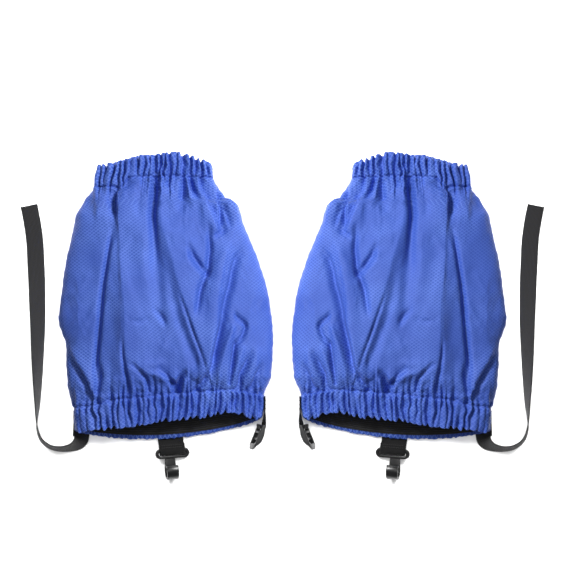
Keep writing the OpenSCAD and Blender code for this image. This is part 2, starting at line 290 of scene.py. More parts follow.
# Share of the way up from the lower hem, then where the strap side and the buckle side reach to
outline = [(0, -94.5, 92), (.048, -96, 94.5), (.085, -96, 95), (.1, -95.5, 94), (.107, -97.5, 94.5),
           (.136, -99.5, 98), (.165, -101.5, 101), (.224, -103, 102.5), (.312, -103.5, 103.5),
           (.342, -107, 103.5), (.371, -110, 103), (.401, -111, 102), (.46, -109, 100), (.518, -107, 97),
           (.577, -105, 92), (.636, -102, 86.5), (.695, -98, 79.5), (.754, -95, 73), (.784, -93, 70.5),
           (.804, -89, 68.5), (.812, -88, 65), (.819, -87, 57), (.853, -81, 50), (.872, -78, 47),
           (.902, -76, 43.5), (.95, -75, 43.2), (1, -72, 43)]
# The same share, then the height as a share of the full height, and the clearance under the sleeve
loft = [(0, .72, 1.6), (.115, .77, 1.6), (.17, .9, .5), (.23, .95, 0), (.4, 1, 0), (.53, .97, 0), (.68, .89, 0),
        (.75, .83, 0), (.84, .67, 0), (.88, .57, .8), (.9, .56, .9), (1, .56, .9)]
# Where the upper layer's rims and rows of gathering stitches run, across and along
hem_rim_line = [(-95, -114.5), (-85, -114), (-79, -111), (-70, -110), (-60, -111), (-52, -108.5), (-35, -107.5),
                (-25, -105), (-15, -104), (-8, -102), (10, -100.5), (25, -99.5), (35, -98), (45, -95.5),
                (52, -93.5), (57, -92), (65, -94), (72, -96.5), (80, -99), (92, -101)]
hem_gather_line = [(-96, -91), (-72, -87), (-50, -81), (-20, -78.5), (0, -76.5), (25, -74), (60, -72), (80, -75),
                   (95, -78)]
top_gather_line = [(-76, 129.5), (-60, 130), (-50, 128), (-45, 131), (-41, 138), (-30, 139.5), (0, 140),
                   (30, 139.5), (43.5, 138)]
top_rim_line = [(-72, 145), (-69, 148.5), (-62, 150), (-55, 150.5), (-49, 152.5), (-40, 154), (-36, 155.5),
                (-30, 158.5), (-12, 159.5), (0, 161), (6, 162), (13, 160.5), (20, 158.5), (27, 156.5),
                (33, 153.5), (40, 151.5), (43.5, 146)]


def along(line, at):
    return np.interp(at, *np.array(line).T)


def ease(t):
    t = np.clip(t, 0, 1)
    return t * t * (3 - 2 * t)


def plain_sleeve(share, across, upper):
    """The sleeve's smooth shape: share of its length, and -1 at the strap side to 1 at the buckle side."""
    rows = np.array(outline)
    strap_edge, buckle_edge = np.interp(share, rows[:, 0], rows[:, 1]), np.interp(share, rows[:, 0], rows[:, 2])
    x = (strap_edge + buckle_edge) / 2 + (buckle_edge - strap_edge) / 2 * across
    bow = np.sqrt(np.clip(1 - across ** 2, 0, 1))
    lofts = np.array(loft)
    top = sleeve_height * np.interp(share, lofts[:, 0], lofts[:, 1])
    clear = np.interp(share, lofts[:, 0], lofts[:, 2])
    edge = 0.34 * top
    lower_fade = np.clip(1 - share / 0.31, 0, 1)
    upper_fade = np.clip(1 - (1 - share) / 0.16, 0, 1)
    y = (hem_y + sleeve_length * share + (0.065 * x + (8 * bow if upper else -11 * bow ** 2)) * lower_fade
         - 16 * across ** 2 * upper_fade)
    if upper:
        z = edge + (top - edge) * bow ** 0.8
    else:
        z = edge - (edge - clear) * np.minimum(1, 1.6 * bow)
    return x, y, z, bow


def sleeve(share, across, upper):
    x, y, z, bow = plain_sleeve(share, across, upper)
    for at, line, near, far in ((0, hem_rim_line, -1, hem_gather), (hem_gather, hem_gather_line, 0, 0.31),
                                (top_gather, top_gather_line, 0.75, 1), (1, top_rim_line, top_gather, 2)):
        weight = np.clip(np.minimum((share - near) / (at - near), (far - share) / (far - at)), 0, 1)
        end = across if upper else np.sign(across)
        line_x, line_y, _, _ = plain_sleeve(np.full_like(share, at), end, True)
        y = y + (along(line, line_x) - line_y) * weight * (1 if upper else np.clip(1 - bow, 0, 1) ** 1.5)
    return np.stack([x, y, z], -1), bow


def ripple(x, y, size_x, size_y, seed):
    """Smooth random hills between -1 and 1, of a given size along and across."""
    hills = np.random.default_rng(seed).uniform(-1, 1, (64, 64))
    u, v = x / size_x + 31.7, y / size_y + 29.3
    i, j = np.floor(u).astype(int), np.floor(v).astype(int)
    s, t = ease(u - i), ease(v - j)
    near, far = (hills[i % 64, k % 64] * (1 - s) + hills[(i + 1) % 64, k % 64] * s for k in (j, j + 1))
    return near * (1 - t) + far * t


def fold(x, y, line, left, right, sharpness):
    """A crease along points of (across, along, height), falling away over one width on each side."""
    nearest, height, side = np.full(x.shape, 1e9), np.zeros(x.shape), np.zeros(x.shape)
    for (x0, y0, h0), (x1, y1, h1) in zip(line, line[1:]):
        dx, dy = x1 - x0, y1 - y0
        t = np.clip(((x - x0) * dx + (y - y0) * dy) / (dx * dx + dy * dy), 0, 1)
        ex, ey = x - x0 - t * dx, y - y0 - t * dy
        away = np.hypot(ex, ey)
        closer = away < nearest
        nearest = np.where(closer, away, nearest)
        height = np.where(closer, h0 + t * (h1 - h0), height)
        side = np.where(closer, dx * ey - dy * ex, side)
    width = np.where(side > 0, right, left)
    return height * np.exp(-(nearest / width) ** sharpness)


# Creases of the upper layer: points from the top down, widths towards the strap and the buckle side,
# and how rounded the crest is
creases = [
    ([(-49, 130, 0), (-49.5, 121, 4), (-50, 108, 5), (-50, 97, 3), (-49, 80, 1.2), (-48.5, 60, 1.2), (-47, 40, 1.5),
      (-44.5, 20, 1.5), (-43, 0, 1.5), (-43, -22, 1.5), (-43, -42, 0)], 2.5, 12, 1.3),
    ([(-52, 124, 0), (-55, 115, -5), (-54, 105, -4), (-51, 98, 0)], 5, 3, 2),
    ([(-55, 90, 0), (-59, 76, -2.2), (-62, 58, -3.4), (-65, 38, -3.8), (-67.5, 20, -4), (-69, 0, -4),
      (-71, -20, -4), (-73, -40, -4.2), (-74, -52, -3.2), (-72, -70, 0)], 2.4, 3.4, 1.7),
    ([(-46, 60, 0), (-44, 20, 2.5), (-43, -20, 4), (-42, -45, 4), (-39, -70, 0)], 11, 20, 1.6),
    ([(-46, -16, 0), (-45, -38, -3), (-43, -54, -3.4), (-40, -70, -3), (-39, -82, -1)], 2, 2.4, 1.8),
    ([(-100, -34, 0), (-94, -46, -2.4), (-87, -57, -4.4), (-81, -67, -4.4), (-78, -82, -2)], 5, 3.5, 2),
    ([(-98, -30, 0), (-92, -44, 2.2), (-84, -58, 3.2), (-77, -71, 3), (-70, -83, 1)], 2.5, 7, 1.4),
    ([(-14, 141, -3.5), (-14, 130, -7), (-15.5, 114, -8), (-16.5, 100, -6.5), (-15.5, 87, -4), (-14, 70, -2),
      (-13, 48, 0)], 4.6, 4.0, 2.2),
    ([(-15, 95, -1), (-13, 65, -3), (-11, 35, -3), (-9, 10, -2), (-6, -6, 0)], 9, 8, 2),
    ([(-9, 98, 0), (-5, 82, 1.6), (2, 63, 2.4), (8, 42, 3), (13, 25, 3.4), (20, 6, 3.8), (28, -15, 4.4), (34, -33, 5),
      (38, -49, 5.4)], 13, 22, 1.25),
    ([(-4, 66, 0), (0, 45, -1), (4, 22, -1.5), (11, -5, -2), (20, -28, -2.4), (28, -47, -2), (30, -54, 0)], 6, 6, 2),
    ([(9, 28, 0), (16, 8, -1.6), (24, -14, -2.4), (31, -33, -3), (35.5, -47, -3), (37, -54, 0)], 2, 1.6, 1.6),
    ([(20, 143, -2), (21, 136, -6), (23, 128, -6.5), (27, 120, -2.5), (31, 114, 0)], 2.4, 2.8, 2),
    ([(12, 139, -1), (14, 130, -3.5), (13, 120, -3.8), (11, 110, -2), (11, 102, 0)], 4, 5, 2),
    ([(17.5, 139, 1), (18.5, 128, 2.4), (20, 118, 2.4), (25, 106, 0)], 2, 3, 1.5),
    ([(31, 140, -2), (34, 126, -3.4), (40, 113, -3.8), (46, 101, -4.2), (51, 90, -3.6), (53, 83, 0)], 2.4, 5.5, 1.8),
    ([(27, 130, 0), (33, 117, 2.6), (40, 103, 3), (45, 92, 1.6), (46, 84, 0)], 9, 3.5, 1.5),
    ([(47, 134, 0), (49, 120, -4.4), (51, 110, -5), (52, 99, -4.4), (51, 90, 0)], 2.4, 2.8, 2),
    ([(58, 92, 0), (54, 85, -3.4), (48, 81, -3), (43, 77, 0)], 2.2, 2.4, 2),
    ([(40, 95, 0), (40, 80, -2.4), (41, 68, -3.4), (39.5, 54, -4.2), (39, 46, -4), (35, 37, -4.4), (31, 25, -4.2),
      (29, 12, -3), (27, -2, 0)], 3.2, 3.2, 1.8),
    ([(18, 74, 0), (24, 60, -3.4), (31, 50, -4), (38, 43, -3)], 4, 3.2, 2),
    ([(60, 78, 0), (53, 55, 3), (48, 30, 3.6), (45, 8, 3.2), (42, -20, 2.6), (39, -44, 1)], 8, 5, 2),
    ([(75, 70, 0), (67, 59, -3.6), (63, 47, -5), (60.5, 33, -5.4), (57, 20, -5), (54, 8, -4.4), (52, -4, -5),
      (50, -14, -6.5), (47, -26, -8), (44.5, -38, -8), (42.5, -50, -5), (42, -60, -1)], 2.6, 5.5, 1.9),
    ([(54, 6, 0), (49.5, -8, 2.6), (45, -24, 3.4), (41, -38, 4), (38.5, -49, 4.6), (31, -57, 4), (23, -61, 0)],
     6, 2.2, 1.4),
    ([(66, -5, 0), (62, -14, 3.4), (57, -28, 3.8), (53, -42, 3.6), (49, -56, 3), (48, -66, 0)], 2.6, 3.4, 1.6),
    ([(66, -22, 0), (64, -36, -4.4), (62, -50, -4.6), (60, -64, -3)], 2.4, 2.8, 2),
    ([(64, 5, 0), (68, -1, -3.2), (73, -5, -3.6), (76.5, -9, -3.6), (75, -14, -3.4), (72, -21, -3.4), (66, -27, -3.8),
      (64, -34, 0)], 2.2, 2.4, 1.8),
    ([(74, -27, 0), (70, -40, 3.2), (66, -52, 3.4), (62, -66, 2)], 2.6, 2.8, 1.6),
    ([(83, -32, 0), (77, -45, -4), (71, -57, -4.6), (68, -70, -3)], 2.6, 3.6, 2),
    ([(89, -28, 0), (83, -48, 2.8), (77, -62, 2.8), (74, -74, 0)], 4, 6, 1.6),
    ([(93, -44, 0), (86, -58, -3.2), (82, -70, -3)], 3, 3.6, 2),
    ([(-44, -43, 0), (-35, -48, -2.6), (-27, -54, -3.2), (-22, -62, -3.4), (-20, -74, -2.4)], 3, 2.2, 1.8),
    ([(-41, -50, 0), (-30, -51, 2.4), (-18, -55, 3), (-8, -58.5, 3.2), (0, -62.5, 3.2), (4, -67, 0)], 4, 4, 1.4),
    ([(-11, -49, 0), (-3, -58, -3), (3, -66, -6), (7, -74, -6)], 3, 3.4, 2),
    ([(18, -51, 0), (12, -60, -4.4), (9, -68, -6.5), (7, -78, -4)], 3.4, 3, 2),
    ([(17, -59, 0), (15.5, -66, 3.4), (14, -77, 1.6)], 1.8, 1.8, 1.6),
    ([(40, -51, -2), (36, -60, -4.4), (31, -68, -4.4), (28, -77, -2.4)], 3, 3.4, 2),
    ([(-70, -48, -1), (-69, -60, -3.6), (-72, -74, -3)], 4.6, 4, 2),
    ([(-16, 9, 0), (-9, 2, -2.4), (-5, -4, -2.6), (-3, -10, 0)], 3, 3, 2),
    ([(-44, 2, 0), (-38, -3, -1.4), (-30, -5, -1.5), (-22, -3, -1.2), (-16, 1, 0)], 1.8, 1.8, 1.6),
    ([(-28, -46, 0), (-15, -48, 1.8), (-2, -43, 0)], 3.4, 4, 1.5),
    ([(55, 119, 0), (61, 113, 3.4), (66, 104, 3), (69, 92, 0)], 5, 3, 1.6),
    ([(53, 118, 0), (55, 106, -3), (59, 96, -2.4), (61, 86, 0)], 2.4, 3, 2),
    ([(-74, 126, 0), (-80, 113, -1.6), (-85, 100, 0)], 4, 4, 2),
    ([(-66, 126, 0), (-68, 112, 1.6), (-72, 96, 0)], 4, 5, 2),
    ([(-30, 132, 0), (-31, 112, -1.4), (-30, 92, 0)], 4, 4, 2),
    ([(3, 136, 0), (2, 122, 1.8), (1, 100, 0)], 4, 5, 1.8),
]
# Valleys between the pleats, across, at the rim and at the row of stitches
hem_valleys = [(-93, -94), (-86, -88.5), (-80, -83), (-72, -76), (-66, -71), (-60.5, -65), (-56, -58), (-49, -50),
               (-43, -46), (-38, -42), (-31, -33), (-26, -27), (-21, -22), (-15, -15), (-9, -8), (-2, -2), (3.5, 5),
               (8.5, 10), (15, 17), (22, 21), (29, 28), (33, 34), (39, 40.5), (44.5, 46), (49.5, 51), (56, 55),
               (61, 60), (65.5, 66), (73, 71), (77, 77), (83, 84), (88, 89), (93, 94)]
top_valleys = [(-72, -75), (-67, -70), (-62, -65), (-54.5, -60), (-49, -50), (-44, -45.5), (-37, -41), (-30, -33),
               (-25, -27), (-18, -22), (-14, -14), (-9, -10), (-4, -6), (0, 0), (8, 5), (13, 13), (21, 20), (27, 26),
               (32, 31), (36, 37), (43, 43)]


def spread_valleys(left, right, count, seed):
    step = np.random.default_rng(seed).uniform(0.6, 1.4, count)
    at = left + (right - left) * np.cumsum(step) / step.sum()
    return [(a, a) for a in np.concatenate([[left], at])]


def knots(table, which, reach):
    """Random values given at the rim, half way and at the stitches, read at each point of a cuff."""
    return (table[0][which] * np.clip(1 - 2 * reach, 0, 1) + table[1][which] * np.clip(1 - abs(2 * reach - 1), 0, 1)
            + table[2][which] * np.clip(2 * reach - 1, 0, 1))


def ridges(x, y, size_x, size_y, seed):
    """Sharp random crests, up to 1, between rounded hollows."""
    return 1 - 2.2 * abs(ripple(x, y, size_x, size_y, seed))


def pleats(x, y, reach, valleys, seed):
    """Faceted pleats between sharp valleys. reach is 0 at the rim, 1 at the stitches, more beyond.
    Gives the pleats, and the wider folds that they run together into."""
    draw = np.random.default_rng(seed)
    rim, sewn = np.array(valleys, float).T
    count = len(rim)
    high = draw.uniform(0.35, 1.3, (3, count + 1))
    low = draw.choice([-1.0, -0.8, -0.5, 0.0, 0.4], (3, count + 1))
    lean = draw.uniform(0.2, 0.8, (3, count + 1))
    sway = draw.uniform(-1.3, 1.3, count)
    run_out = draw.uniform(0.35, 1.9, count + 1)
    reach = np.minimum(reach, 1)[:, None] + np.zeros(x.shape)
    x = x + 1.1 * ripple(x, y, 8, 7, seed + 9) + 0.3 * ripple(x, y, 3.5, 4, seed + 8)
    lines = [rim + (sewn - rim) * s + sway * math.sin(math.pi * s) for s in reach[:, 0]]
    turn = np.stack([np.interp(row, line, np.arange(count)) for row, line in zip(x, lines)])
    which = np.floor(turn).astype(int)
    t, crest = turn % 1, knots(lean, which, reach)
    top, left, right = knots(high, which, reach), knots(low, which, reach), knots(low, which + 1, reach)
    rising = t < crest
    up = np.where(rising, t / crest, (1 - t) / (1 - crest))
    side = np.where(rising, left, right)
    fine = side + (top - side) * (0.5 * np.sin(np.pi / 2 * up) + 0.5 * up ** 0.75)
    merged = []
    for gather, shift in ((2.3, 0.35), (4.7, 0.1)):
        t = (turn / gather + shift) % 1
        merged.append(np.minimum(t / 0.4, (1 - t) / 0.6) ** 0.8
                      * high[1][np.floor(turn / gather + shift).astype(int) % count])
    return fine, merged[0], merged[1], run_out[which]


def gathered(x, y, share, upper, hem_at, top_at, seed):
    """How far the cloth stands out from the smooth shape."""
    tall = 4.6 if upper else 1.5
    out = np.zeros(x.shape)
    rows = share[:, 0]
    body = ease((rows - hem_gather) / 0.1)[:, None] * ease((top_gather - rows) / 0.1)[:, None]
    for reach, past, valleys, grow in (
            (rows / hem_gather, (rows - hem_gather) * sleeve_length, hem_at, 1.0),
            ((1 - rows) / (1 - top_gather), (top_gather - rows) * sleeve_length, top_at, 1.1)):
        fine, wide, broad, run_out = pleats(x, y, reach, valleys, seed + int(grow * 100))
        past = past[:, None] + 0.9 * ripple(x, y, 5, 40, seed + 7)
        beyond = np.maximum(past, 0)
        pinch = 1 - 0.4 * np.exp(-(np.abs(past) / 2.0) ** 2)
        # In the cuff the pleats stand apart. Past the stitches they run out and merge into wider folds
        crumple = ridges(x + 0.7 * y, y, 6, 9, seed + 5) + 0.7 * ridges(x - 0.8 * y, y, 5, 8, seed + 10)
        in_cuff = 1.02 * fine + 0.25 * wide + 0.1 + 0.1 * crumple
        in_body = (0.85 * fine * np.exp(-beyond / (8 * run_out)) + 0.95 * wide * np.exp(-beyond / 17)
                   + 0.8 * broad * np.exp(-beyond / 30) * (1 - np.exp(-beyond / 7)) - 0.3 * np.exp(-beyond / 12)
                   + 0.16 * crumple * np.exp(-beyond / 16))
        out += tall * grow * pinch * np.where(past < 0, in_cuff, in_body)
        # The thread pulls a narrow groove
        out -= (1.3 + 0.9 * ripple(x, y, 4, 30, seed + 12)) * np.exp(-(past / 1.3) ** 2)
    soft = 1.1 * ripple(x, y, 34, 60, seed + 1) + 0.5 * ripple(x + 0.3 * y, y, 13, 30, seed + 2)
    crisp = (0.9 * ridges(x, y, 21, 38, seed + 3) + 0.5 * ridges(x - 0.5 * y, y, 11, 19, seed + 4)
             + 0.25 * ridges(x + 0.4 * y, y, 6, 10, seed + 6))
    out += (soft + 0.8 * crisp if upper else 0.5 * soft + 0.4 * crisp - 0.5) * (0.3 + 0.7 * body)
    if upper:
        for line, left, right, sharpness in creases:
            out += 1.45 * fold(x, y, line, 0.85 * left, 0.85 * right, sharpness)
        # The deepest hollows and the highest crests are softened
        out = np.where(out < -9, -9 + (out + 9) * 0.3, out)
        out = np.where(out > 4, 4 + (out - 4) * 0.4, out)
    return np.where((rows[:, None] < hem_gather) | (rows[:, None] > top_gather), np.maximum(out, -0.9), out)


def thicken(piece, thickness, offset=0):
    wall = piece.modifiers.new("cloth thickness", "SOLIDIFY")
    wall.thickness, wall.offset = thickness, offset
    bpy.context.view_layer.objects.active = piece
    bpy.ops.object.modifier_apply(modifier=wall.name)


def cloth_panel(name, upper, cols, hem_at, top_at, seed):
    """One panel with its two turned-in rims. Also gives its face's points, normals and shares for the stitches."""
    cuff_rows = np.linspace(0, 1, 25)
    share = np.unique(np.concatenate([
        0.004 + (hem_gather - 0.004) * cuff_rows, np.linspace(hem_gather, hem_gather + 0.09, 22),
        np.linspace(hem_gather + 0.09, top_gather - 0.07, 72), np.linspace(top_gather - 0.07, top_gather, 16),
        top_gather + (0.996 - top_gather) * cuff_rows]).round(6))
    t = np.linspace(-1, 1, cols)
    across = 0.55 * t + 0.45 * np.sin(np.pi / 2 * t)
    share, across = np.meshgrid(share, across, indexing="ij")
    points, bow = sleeve(share, across, upper)
    even = np.pad(points, ((6, 6), (0, 0), (0, 0)), mode="reflect", reflect_type="odd")
    normal = unit(np.cross(np.gradient(points, axis=1), np.gradient(points, axis=0))) * (1 if upper else -1)
    x, y = points[..., 0], points[..., 1]
    out = gathered(x, y, share, upper, hem_at, top_at, seed)
    free = ease(bow / 0.42)
    seam = -0.3 + 0.25 * np.sin(share * 190) + 0.2 * np.sin(share * 83)
    out = out * free + seam * (1 - free)
    if not upper:
        clear_of_cuffs = ease((share - hem_gather) / 0.04) * ease((top_gather - share) / 0.04)
        out = -np.minimum(np.abs(out) * 0.8, 1.4 + 3 * clear_of_cuffs)
    points = points + normal * out[..., None]
    # Crests of the pleats reach past the rims
    reach = np.clip(out, -2, 5) * (0.6 if upper else -0.9) * free
    points[..., 1] -= reach * ease(1 - share / 0.05)
    points[..., 1] += reach * ease(1 - (1 - share) / 0.05)
    # The rims turn in under the elastic
    hem_in, top_in = [], []
    for rim, step, inward in ((0, 1, hem_in), (-1, -1, top_in)):
        away = unit(points[rim] - points[rim + step])
        for past, depth in ((0.45, 0.12), (0.6, 0.5), (0.3, 0.95)):
            inward.append(points[rim] + past * away - depth * normal[rim])
        for rows_in, depth in ((2, 1.1), (5, 1.15), (8, 1.15)):
            at = rim + step * rows_in
            inward.append(points[at] - depth * normal[at])
    points = np.concatenate([np.array(hem_in[::-1]), points, np.array(top_in)])
    rows, cols = points.shape[:2]
    mid = cols // 2
    run = np.cumsum(np.linalg.norm(np.diff(even, axis=1, prepend=even[:, :1]), axis=2), axis=1)
    rise = np.cumsum(np.linalg.norm(np.diff(even, axis=0, prepend=even[:1]), axis=2), axis=0)
    cloth = np.stack([run - run[:, mid:mid + 1], rise - rise[rows // 2:rows // 2 + 1]], -1)
    faces = grid_faces(rows, cols)[:, ::1 if upper else -1]
    piece = make_piece(name, points.reshape(-1, 3), faces.tolist(), cloth.reshape(-1, 2))
    thicken(piece, 0.0003, -1)
    return piece, points[len(hem_in):-len(top_in)], normal, share[:, 0]


def ripstop_finish():
    finish = Finish("blue ripstop nylon", Specular_IOR_Level=0.35, Sheen_Weight=0.05, Sheen_Roughness=0.35)
    across, up = finish.cloth_mm()
    place = finish.place()
    threads = []
    for lean in (1, -1):
        t = (across / 4.5 + up * (lean / 3.3)).maths("FRACT")
        threads.append(((abs(t - 0.5) * 2 - 0.62) * 2.8).clipped())
    grid = threads[0].maths("MAXIMUM", threads[1])
    fine = (across * (2 * math.pi / 0.55)).maths("SINE") * (up * (2 * math.pi / 0.55)).maths("SINE")
    uneven = finish.noise(place, 45.0, 3.0)
    # The raised grid threads are painted much lighter than the cloth, most strongly in random patches: partly the
    # ripstop's own pattern and partly a painted highlight on the threads.
    clear = ((finish.noise(place, 22.0, 2.0) - 0.4) * 3.5).clipped() * 0.5 + 0.35
    blue = finish.blend(uneven, (0.03, 0.076, 0.42, 1), (0.043, 0.103, 0.5, 1))
    cell = finish.blend(grid * clear, blue, (0.16, 0.29, 0.82, 1))
    finish.cover(cell, grid * 0.8 + fine * 0.12 + uneven * 0.6, 0.0003, 0.5 + uneven * 0.16 - grid * 0.08, 0.8)
    return finish


ripstop = ripstop_finish()
upper_cloth, upper_points, upper_normal, shares = cloth_panel(
    "left_rear_cloth", True, 300, hem_valleys, top_valleys, 11)
lower_cloth, lower_points, lower_normal, _ = cloth_panel(
    "left_front_cloth", False, 170, spread_valleys(-94, 92, 31, 5), spread_valleys(-75, 43, 21, 6), 23)
for cloth, part, width in ((upper_cloth, "rear_panel", 0.26), (lower_cloth, "front_panel", 0.22)):
    for piece in both_sides(cloth, part, "sleeve", ripstop):
        ["floor"] if part == "front_panel" else []

# ---- Elastics ----
# Black ribbed elastic, 22 mm wide in the hem and 20 mm wide at the top. Each length is lapped and joined
# into a ring, then stretched and sewn inside its cuff.


def elastic_ring(name, low, high):
    """A ring between two shares of the sleeve's length, a little inside the cloth."""
    share = np.linspace(low, high, 16)
    t = np.linspace(-1, 1, 131)
    across = 0.5 * t + 0.5 * np.sin(np.pi / 2 * t)
    p = np.concatenate([sleeve(*np.meshgrid(share, part, indexing="ij"), upper)[0]
                        for upper, part in ((True, across), (False, across[-2:0:-1]))], axis=1)
    outwards = unit(np.cross(np.roll(p, -1, axis=1) - np.roll(p, 1, axis=1), np.gradient(p, axis=0)))
    run = np.cumsum(np.linalg.norm(np.roll(p, -1, axis=1) - p, axis=2), axis=1)
    wave = 0.18 * np.sin(run / 3.1) + 0.12 * np.sin(run / 1.7 + 1)
    # The ends overlap by 12 mm under the lace hook
    overlap = np.where((p[..., 0] > -14) & (p[..., 0] < -2), (-2 - p[..., 0]) / 20, 0)
    overlap[:, :len(across)] = 0
    p = p - outwards * (2.35 + wave + overlap)[..., None]
    cloth = np.stack(np.broadcast_arrays(run, (share - share[0])[:, None] * sleeve_length), -1)
    piece = make_piece(name, p.reshape(-1, 3), grid_faces(*p.shape[:2], closed=True).tolist(), cloth.reshape(-1, 2))
    outward(piece)
    thicken(piece, 0.0007)
    return piece


def elastic_finish():
    finish = Finish("black ribbed elastic", Specular_IOR_Level=0.3, Sheen_Weight=0.08)
    around, up = finish.cloth_mm()
    rib = abs((up / 1.9).maths("FRACT") - 0.5) * 2
    knit = (around * (2 * math.pi / 0.9)).maths("SINE") * 0.5 + 0.5
    fuzz = finish.noise(finish.place(), 700.0)
    # The crests of the ribs and the knit are painted lighter and the grooves darker: painted highlight and painted
    # shade, with random fuzz in the tone.
    shade = (rib * 0.7 + knit * 0.15 + fuzz * 0.3 - 0.15).clipped()
    finish.cover(finish.blend(shade, (0.013, 0.013, 0.014, 1), (0.046, 0.046, 0.049, 1)),
                 rib + knit * 0.15, 0.0004, 0.72 - rib * 0.15)
    return finish


elastic = elastic_finish()
both_sides(elastic_ring("left_hem_elastic_band", 0.013, 0.093), "hem_elastic", "sleeve", elastic)
both_sides(elastic_ring("left_top_elastic_band", 0.915, 0.987), "top_elastic", "sleeve", elastic)

# ---- Side seams ----
# Blue ripstop. The two panels' edges are trimmed and overlocked together with blue thread, and stand
# inside the sleeve along each side, from cuff to cuff.


def seam_strip(name, side):
    share = np.linspace(hem_gather + 0.002, top_gather - 0.002, 120)
    turn = np.linspace(-10, 10, 9)
    p = np.stack([sleeve(share, np.full_like(share, side * math.cos(math.radians(angle))), angle >= 0)[0]
                  for angle in turn], axis=1)
    p[..., 0] -= 2.3 * side
    p[..., 2] += 0.2 * np.sin(share * 160)[:, None]
    cloth = np.stack(np.broadcast_arrays(turn[None] * 0.6, (share * sleeve_length)[:, None]), -1)
    piece = make_piece(name, p.reshape(-1, 3), grid_faces(*p.shape[:2]).tolist(), cloth.reshape(-1, 2))
    thicken(piece, 0.0007)
    outward(piece)
    return piece


def overlock_finish():
    finish = Finish("overlocked blue edge", Roughness=0.7, Specular_IOR_Level=0.3)
    across, up = finish.cloth_mm()
    thread = abs((up / 2.4 + abs(across) * 0.11).maths("FRACT") - 0.5) * 2
    loop = ((thread - 0.6) * 3.0).clipped()
    fuzz = finish.noise(finish.place(), 500.0)
    cloth = finish.blend(fuzz, (0.05, 0.1, 0.42, 1), (0.07, 0.14, 0.5, 1))
    finish.cover(finish.blend(loop, cloth, (0.12, 0.2, 0.62, 1)), loop + fuzz * 0.2, 0.0004)
    return finish


overlock = overlock_finish()
both_sides(seam_strip("left_strap_side_overlock", -1), "strap_side_seam", "sleeve", overlock)
both_sides(seam_strip("left_buckle_side_overlock", 1), "buckle_side_seam", "sleeve", overlock)

# ---- Stitching ----
# Blue polyester thread, in one row of lockstitches round each cuff. Every stitch sinks into the cloth
# at both ends.


def model_stitch(length, thick):
    """One stitch, lying along X and swelling between the needle holes."""
    bpy.ops.object.select_all(action="DESELECT")
    bpy.ops.mesh.primitive_uv_sphere_add(segments=6, ring_count=5, radius=0.5, rotation=(0, math.pi / 2, 0))
    stitch = bpy.context.object
    stitch.scale = (thick, thick, length)
    bpy.ops.object.transform_apply(location=False)
    shape = np.array([v.co[:] for v in stitch.data.vertices])
    faces = [list(p.vertices) for p in stitch.data.polygons]
    bpy.data.objects.remove(stitch)
    return shape, faces


def copies(name, shape, faces, places):
    """The same small shape at each (middle, along, upwards)."""
    points, all_faces = [], []
    for middle, ahead, up in places:
        ahead = unit(ahead)
        side = unit(np.cross(up, ahead))
        basis = np.stack([ahead, side, np.cross(ahead, side)])
        all_faces += [[i + len(points) * len(shape) for i in f] for f in faces]
        points.append(middle + shape @ basis)
    piece = make_piece(name, np.concatenate(points), all_faces)
    outward(piece)
    return piece


def stitch_row(name, share_at):
    row = int(np.argmin(abs(shares - share_at)))
    p = np.concatenate([upper_points[row], lower_points[row][-2:0:-1]])
    n = np.concatenate([upper_normal[row], lower_normal[row][-2:0:-1]])
    run, stitch_pitch = distance_along(p), 3.4
    places = []
    for at in np.arange(2, run[-1], stitch_pitch):
        i = min(max(int(np.searchsorted(run, at)), 1), len(p) - 2)
        places.append((p[i] + 0.08 * n[i], p[i + 1] - p[i - 1], n[i]))
    return copies(name, *model_stitch(2.6, 0.55), places)


def thread_finish(name, colour, light):
    finish = Finish(name, Roughness=0.55, Specular_IOR_Level=0.4)
    ply = finish.noise(finish.place(), 1600.0)
    finish.cover(finish.blend(ply, colour, light), ply, 0.0002)
    return finish


blue_thread = thread_finish("blue thread", (0.03, 0.06, 0.3, 1), (0.06, 0.11, 0.45, 1))
for cuff, share_at in (("top", top_gather), ("hem", hem_gather)):
    both_sides(stitch_row(f"left_{cuff}_gathering_stitches", share_at), cuff + "_stitching", "sleeve",
               blue_thread)

# ---- Lace hook's tab ----
# Black 25.4 mm webbing, sewn under the front of the lower hem. It passes round the hook's bar, a
# little slack, and is stitched down on itself.
hook_tab_w = 25.4
bar_r = 1.5
loop_r = bar_r + 0.35 + webbing_t / 2
hook_place = (Matrix.Translation((2.3, -133, 6)) @ Matrix.Rotation(math.radians(4), 4, "Z")
              @ Matrix.Rotation(math.radians(12), 4, "Y"))


def loop_round(bar, tail, slack=0):
    """Places round a bar's far side, from below it to above it, and the tail end after that."""
    turn = np.radians(np.linspace(-90, -270, 16))
    ring = [(0, (loop_r + slack) * math.cos(a), loop_r * math.sin(a)) for a in turn]
    return [np.array(bar @ Vector(p)) for p in ring + tail]


hook_width = np.array(hook_place.to_3x3() @ Vector((1, 0, 0)))
hook_loop = loop_round(hook_place, [(0, 3.2, loop_r - 0.1), (0, 6.5, loop_r - 0.3)], slack=2.3)
hook_mid = [(0.5, y, 0.65) for y in (-95, -101, -107, -115, -122.5)] + [(1.2, -127, 2.27)] + hook_loop
half_turn = np.array((Matrix.Rotation(math.radians(2), 3, "Z") @ Matrix.Rotation(math.radians(6), 3, "Y"))
                     @ Vector((1, 0, 0)))
hook_across = [(1, 0, 0)] * 5 + [half_turn] + [hook_width] * len(hook_loop)
hook_tab = webbing_along("left_hook_tab_webbing", hook_mid, hook_across, hook_tab_w, webbing_t)
black_webbing = webbing_finish("black webbing", (0.002, 0.002, 0.0022, 1), (0.008, 0.008, 0.0085, 1), 1.2, 1.5)
both_sides(hook_tab, "hook_tab", "sleeve", black_webbing)


